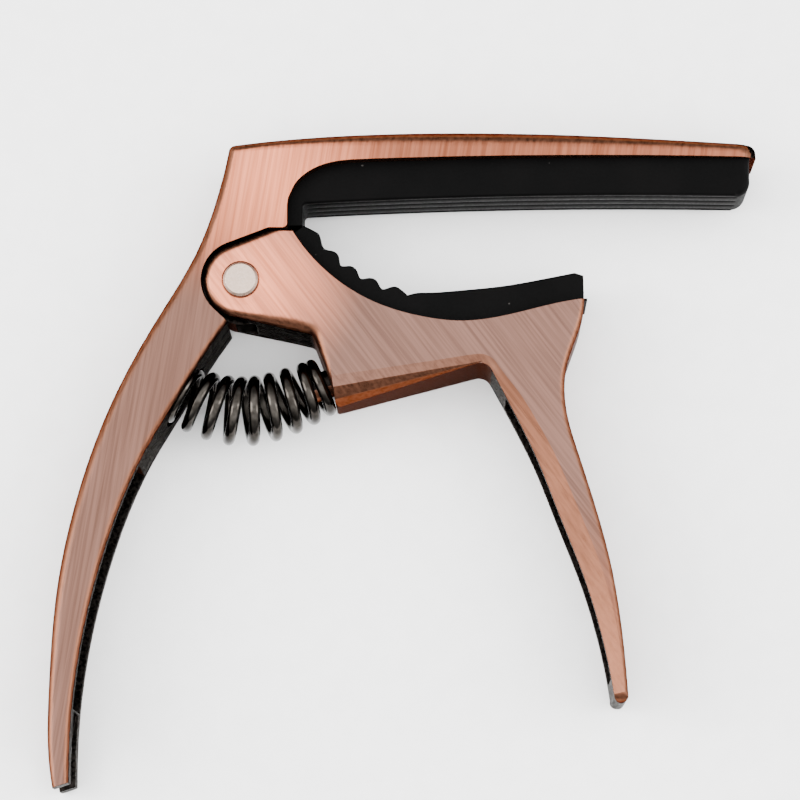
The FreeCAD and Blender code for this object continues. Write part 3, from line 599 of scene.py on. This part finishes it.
def make_neck_pad(material):
    """The curved pad on the jaw: smooth at its free end and ribbed beside the hinge."""
    seat = [(6.25, 5.95), (9.9, 1.42), (15.85, -2.65), (22.7, -4.72), (26.1, -5.1),
            (30.1, -4.8), (36.0, -3.45), (41.4, -2.4)]
    flange = [(41.8, -2.4), (41.8, -2.1), (41.4, -2.1), (41.38, 0.0), (41.35, 0.7)]
    top = [(41.3, 1.3), (36.3, 0.3), (31.4, -0.55), (26.4, -1.05), (22.6, -1.3),
           (20.9, -1.4), (20.1, -1.63)]
    valleys = [(20.1, -1.63), (17.05, -0.85), (14.45, 0.45), (12.05, 2.05), (10.1, 4.1),
               (7.51, 7.0)]
    corner_points = 2            # left out of the top, so that its free end's corner is rounded
    outline = (
        with_edge(smooth_through(seat, 10), SEAT_EDGE)
        + with_edge(flange, NECK_PAD_FLANGE_EDGE)
        + with_edge(smooth_through(top, 10)[corner_points:], NECK_PAD_EDGE, 1.0)
        + with_edge(ribbed(valleys), NECK_PAD_RIB_EDGE))
    grooves = [(z, NECK_PAD_GROOVE_DEPTH, NECK_PAD_GROOVE_HALF_WIDTH) for z in NECK_PAD_GROOVES]
    piece = moulded("neck_pad_moulded", without_repeats(outline),
                    NECK_PAD_LOW, NECK_PAD_HIGH, grooves)
    make_pad(piece, material, "jaw_body", "neck_pad")


def spring_centre_line():
    """Points along the spring's bowed axis, with how far along it each one is."""
    count = 400
    slope = math.radians(SPRING_SLOPE)
    falling = Vector((math.cos(slope), -math.sin(slope), 0)) * SPRING_BOW
    rising = Vector((math.cos(slope), math.sin(slope), 0)) * SPRING_BOW
    poles = [SPRING_REAR, SPRING_REAR + falling, SPRING_FRONT - rising, SPRING_FRONT]
    points = []
    for k in range(count + 1):
        u = k / count
        weights = ((1 - u) ** 3, 3 * u * (1 - u) ** 2, 3 * u ** 2 * (1 - u), u ** 3)
        points.append(sum((pole * weight for pole, weight in zip(poles, weights)), Vector()))
    reach = [0.0]
    for a, b in zip(points, points[1:]):
        reach.append(reach[-1] + (b - a).length)
    return points, reach


def wire_centres():
    """Points along the middle of the spring's wire."""
    points, reach = spring_centre_line()
    length = reach[-1]
    per_turn = 44
    count = int((COIL_END - COIL_START) / COIL_PITCH * per_turn)
    centres = []
    k = 0
    for step in range(count + 1):
        free = COIL_START + (COIL_END - COIL_START) * step / count
        room = length - WIRE_RADIUS - SEAT_GAP - free
        held_back = (room + math.sqrt(room ** 2 + SEAT_BLEND ** 2)) / 2
        distance = max(0.0, free + room - held_back)
        while k < len(reach) - 2 and reach[k + 1] < distance:
            k += 1
        share = (distance - reach[k]) / (reach[k + 1] - reach[k])
        along = (points[k + 1] - points[k]).normalized()
        out = Vector((along.y, -along.x, 0))
        turn = (free - COIL_FRONT) / COIL_PITCH * 2 * math.pi
        coil = COIL_END_RADIUS + COIL_SWELL * math.sin(math.pi * distance / length)
        centres.append(points[k].lerp(points[k + 1], share) - out * (coil * math.sin(turn))
                       + Vector((0, 0, coil * math.cos(turn))))
    return centres


def make_spring(material):
    """The coil spring: a wire swept round its bowed axis, in place of the CAD spring."""
    centres = wire_centres()
    last = len(centres) - 1
    sides = 16
    shape = bmesh.new()
    rows = []
    side = None
    for i, centre in enumerate(centres):
        tangent = (centres[min(i + 1, last)] - centres[max(i - 1, 0)]).normalized()
        side = tangent.orthogonal() if side is None else side - tangent * side.dot(tangent)
        side.normalize()
        other = tangent.cross(side)
        row = []
        for j in range(sides):
            angle = 2 * math.pi * j / sides
            place = centre + (side * math.cos(angle) + other * math.sin(angle)) * WIRE_RADIUS
            row.append(shape.verts.new(beside_pivot(*place)))
        rows.append(row)
    skin(shape, rows)
    crease = 50
    piece = finished("return_spring_wire", shape, crease)
    piece.data.materials.append(material)
    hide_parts("return_spring")
    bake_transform(piece)


# ---- camera, light and floor ----------------------------------------------------------------
def make_camera():
    data = bpy.data.cameras.new("camera")
    data.sensor_width = 36
    data.lens = 158.4
    data.clip_start = 0.01
    data.clip_end = 10
    camera = bpy.data.objects.new("camera", data)
    camera.location = beside_pivot(23.87, -85.6, 427.26)
    camera.rotation_euler = Euler((math.radians(9.676), math.radians(0.642), 0))
    bpy.context.collection.objects.link(camera)
    bpy.context.scene.camera = camera


def area_light(name, place, aim, size, power, tint=(1, 1, 1)):
    data = bpy.data.lights.new(name, "AREA")
    data.shape = "RECTANGLE"
    data.size, data.size_y = size
    data.energy = power
    data.color = tint
    light = bpy.data.objects.new(name, data)
    light.location = place
    light.rotation_euler = (aim - place).to_track_quat("-Z", "Y").to_euler()
    bpy.context.collection.objects.link(light)


def world_ramp(tree, value, low, high, out_low, out_high):
    """A smooth step in the world's nodes."""
    node = tree.nodes.new("ShaderNodeMapRange")
    node.interpolation_type = "SMOOTHSTEP"
    tree.links.new(value, node.inputs["Value"])
    for name, setting in (("From Min", low), ("From Max", high),
                          ("To Min", out_low), ("To Max", out_high)):
        node.inputs[name].default_value = setting
    return node.outputs["Result"]


def make_sky():
    """A pale sky that darkens toward the horizon, most of all ahead and behind, so that the
    plates' flat faces stay light and their bevels dark."""
    world = bpy.data.worlds.new("studio")
    world.use_nodes = True
    tree = world.node_tree
    split = tree.nodes.new("ShaderNodeSeparateXYZ")
    tree.links.new(tree.nodes.new("ShaderNodeTexCoord").outputs["Generated"], split.inputs[0])
    depth = tree.nodes.new("ShaderNodeMath")
    depth.operation = "ABSOLUTE"
    tree.links.new(split.outputs["Y"], depth.inputs[0])
    strength = tree.nodes.new("ShaderNodeMath")
    strength.operation = "MULTIPLY"
    horizon_light, overhead_light = 1.8, 5.0
    tree.links.new(world_ramp(tree, split.outputs["Z"], 0.1, 0.7, horizon_light, overhead_light),
                   strength.inputs[0])
    far_shade = 0.25
    tree.links.new(world_ramp(tree, depth.outputs[0], 0.4, 0.9, 1.0, far_shade),
                   strength.inputs[1])
    background = tree.nodes["Background"]
    background.inputs["Color"].default_value = colour(1.0, 1.0, 1.0)
    tree.links.new(strength.outputs[0], background.inputs["Strength"])
    bpy.context.scene.world = world


def make_lights():
    """The sky, with a softbox on each side that brightens the floor."""
    centre = beside_pivot(20, -20, 6)
    left_power, right_power = 8.0, 5.5
    area_light("softbox_left", centre + Vector((-0.75, 0.05, 0.45)), centre, (0.35, 0.6),
               left_power, (1.0, 0.98, 0.96))
    area_light("softbox_right", centre + Vector((0.80, 0.0, 0.55)), centre, (0.3, 0.6),
               right_power)
    make_sky()


def make_floor():
    size = 3.0
    mesh = bpy.data.meshes.new("floor")
    corners = [(-size, -size, 0), (size, -size, 0), (size, size, 0), (-size, size, 0)]
    mesh.from_pydata(corners, [], [(0, 1, 2, 3)])
    floor = bpy.data.objects.new("floor", mesh)
    clearance = 0.02 * MM
    floor.location.z = -clearance
    bpy.context.collection.objects.link(floor)
    g = Graph("floor_white")
    paper = g.noise(g.coordinates, 300, 2.0, 0.5)
    tone = g.blend(g.ramp(paper, 0.3, 0.7), colour(0.93, 0.93, 0.93), colour(0.96, 0.96, 0.96))
    g.set(Base_Color=tone, Roughness=0.9)
    mesh.materials.append(g.material)


def main():
    handle_tones = (colour(0.082, 0.042, 0.031), colour(0.135, 0.070, 0.053))
    arm_tones = (colour(0.125, 0.039, 0.020), colour(0.225, 0.080, 0.045))
    jaw_tones = (colour(0.088, 0.047, 0.036), colour(0.145, 0.078, 0.060))
    trigger_tones = (colour(0.11, 0.042, 0.025), colour(0.17, 0.068, 0.042))
    frame_lean, jaw_lean = math.radians(-9), math.radians(37)
    heel = pivot + Vector((4, 12, 12)) * MM
    handle_top, arm_bottom = beside_pivot(0, -4).y, beside_pivot(0, 8).y
    trigger_middle, trigger_top = beside_pivot(0, -42).y, beside_pivot(0, -24).y
    frame_copper = brushed_copper("copper_frame", frame_lean, heel, handle_tones, arm_tones,
                                  handle_top, arm_bottom)
    jaw_copper = brushed_copper("copper_jaw", jaw_lean, pivot, trigger_tones, jaw_tones,
                                trigger_middle, trigger_top)
    hollow = black_nickel("black_nickel_hollow")
    paint("upper_frame", frame_copper, hollow, in_frame_hollow)
    paint("lower_jaw", jaw_copper, hollow, in_jaw_hollow)
    dress("pivot_pin", pin_steel("steel_pin"))
    washer_nylon = nylon("nylon")
    dress("pivot_washer_low", washer_nylon)
    dress("pivot_washer_high", washer_nylon)
    black_silicone = silicone("silicone")
    make_string_pad(black_silicone)
    make_neck_pad(black_silicone)
    make_spring(spring_nickel("spring_nickel"))
    make_floor()
    make_lights()
    make_camera()


main()
